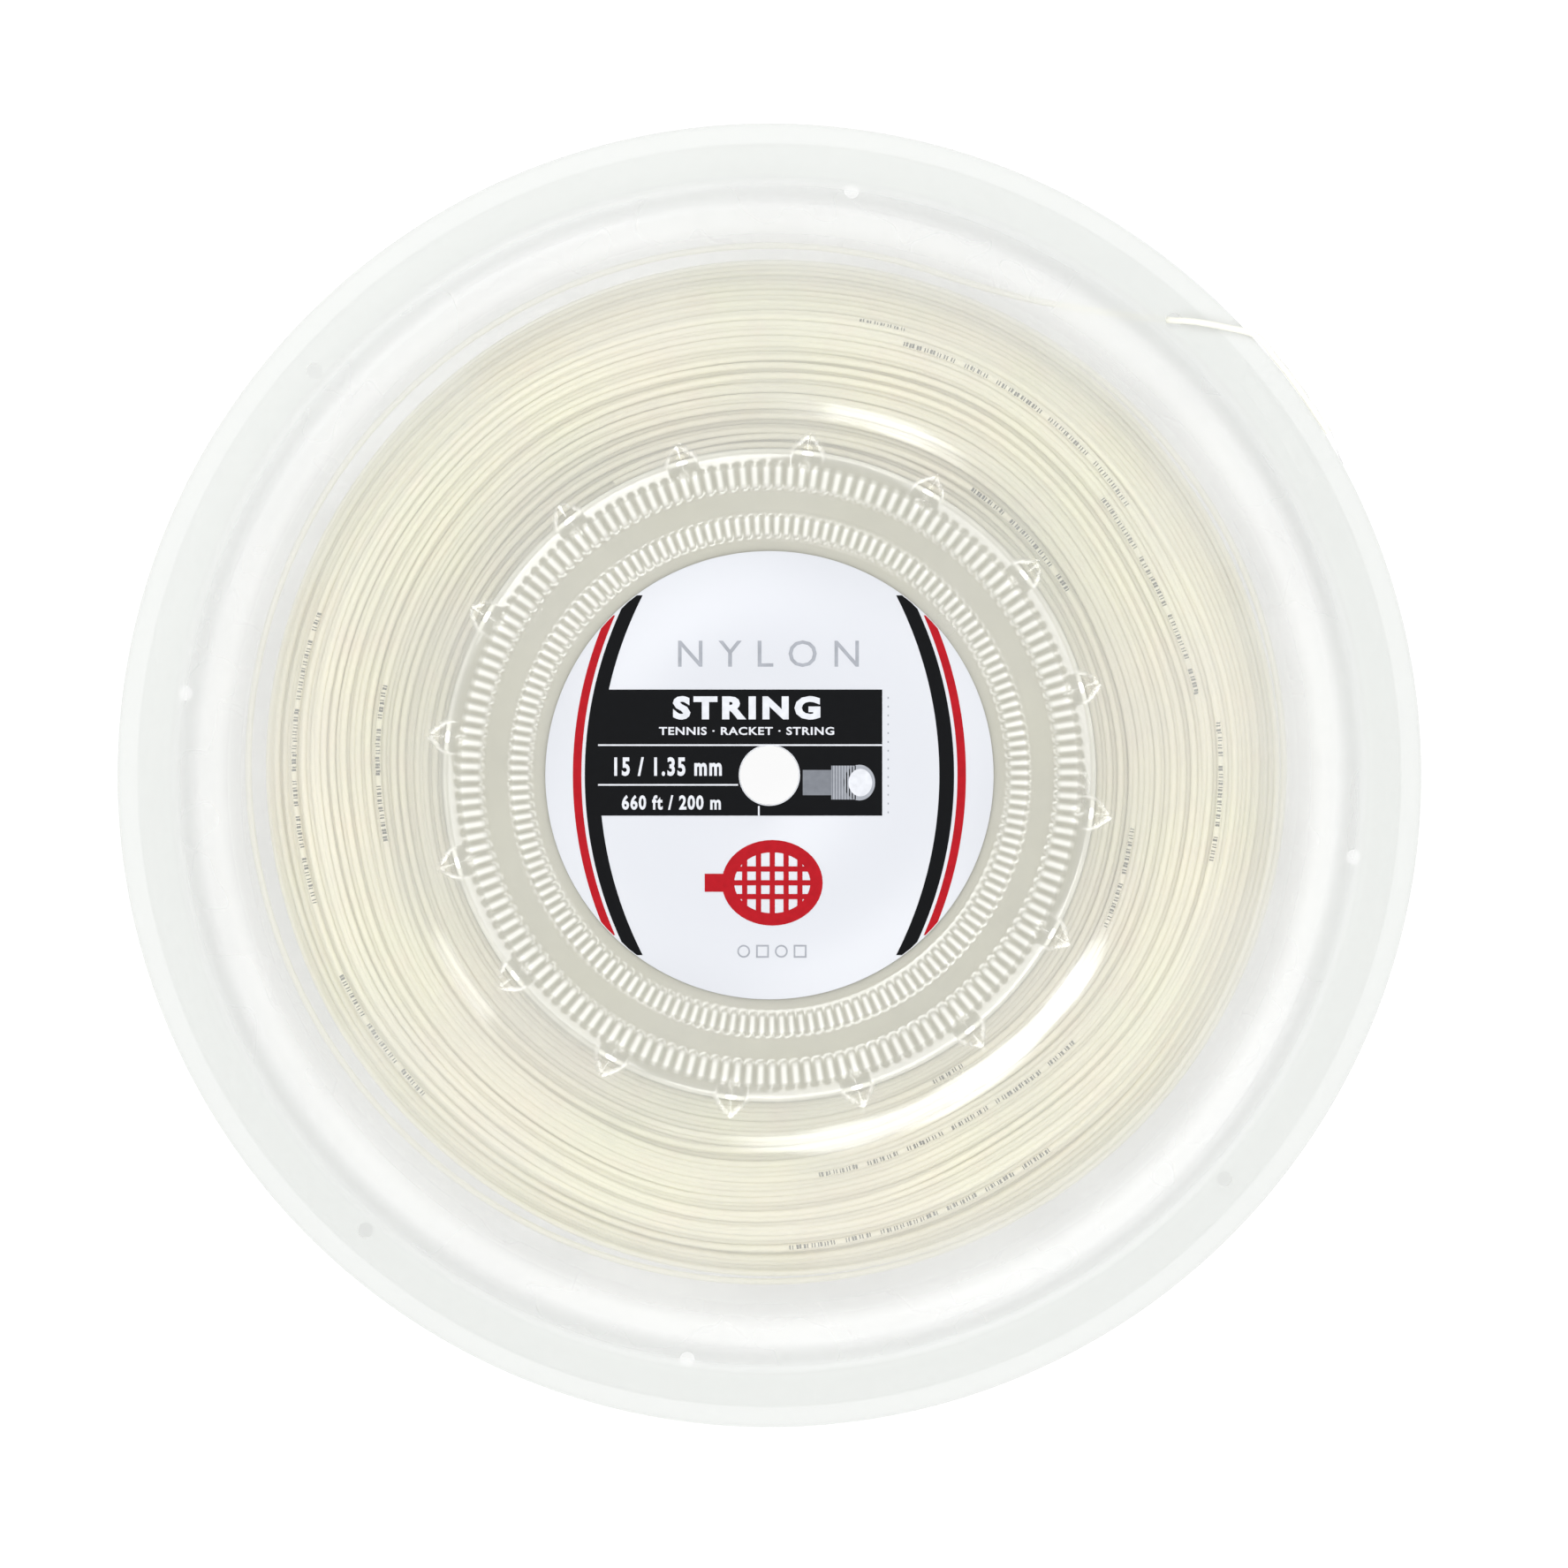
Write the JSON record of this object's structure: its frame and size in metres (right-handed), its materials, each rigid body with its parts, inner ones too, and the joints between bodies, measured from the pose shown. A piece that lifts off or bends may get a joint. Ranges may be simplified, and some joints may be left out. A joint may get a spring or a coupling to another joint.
{
  "type": "string reel",
  "caption": "Clear plastic reel holding a winding of racket string between two dished flanges, with a stepped hub, printed hub labels and a centre hole for a stringer's spindle.",
  "frame": {"origin": "centre of the back shell's rim plane, on the reel's axis, with the reel lying flat on its back", "axes": "+Z along the reel's axis, from the back label to the front label; +Y towards the top of the front label's print; +X to the label's right"},
  "size_m": [0.27, 0.27, 0.0421],
  "materials": {
    "clear_pet": "clear formed PET sheet, glossy, with faint drawing haze",
    "milky_plastic": "milky strip, satin",
    "nylon_string": "translucent nylon multifilament with a smooth clear coat, natural colour",
    "coated_card": "printed coated card, semi-gloss",
    "clear_tape": "clear adhesive tape, slightly wrinkled",
    "glue": "cloudy glue film"
  },
  "bodies": {
    "root": {"front_shell": "clear_pet", "back_shell": "clear_pet", "core_ring": "milky_plastic", "hub_bond": "glue", "front_label": "coated_card", "back_label": "coated_card", "start_tape": "clear_tape", "string_winding": "nylon_string", "string_tail": "nylon_string", "tail_tape": "clear_tape"}
  },
  "joints": []
}
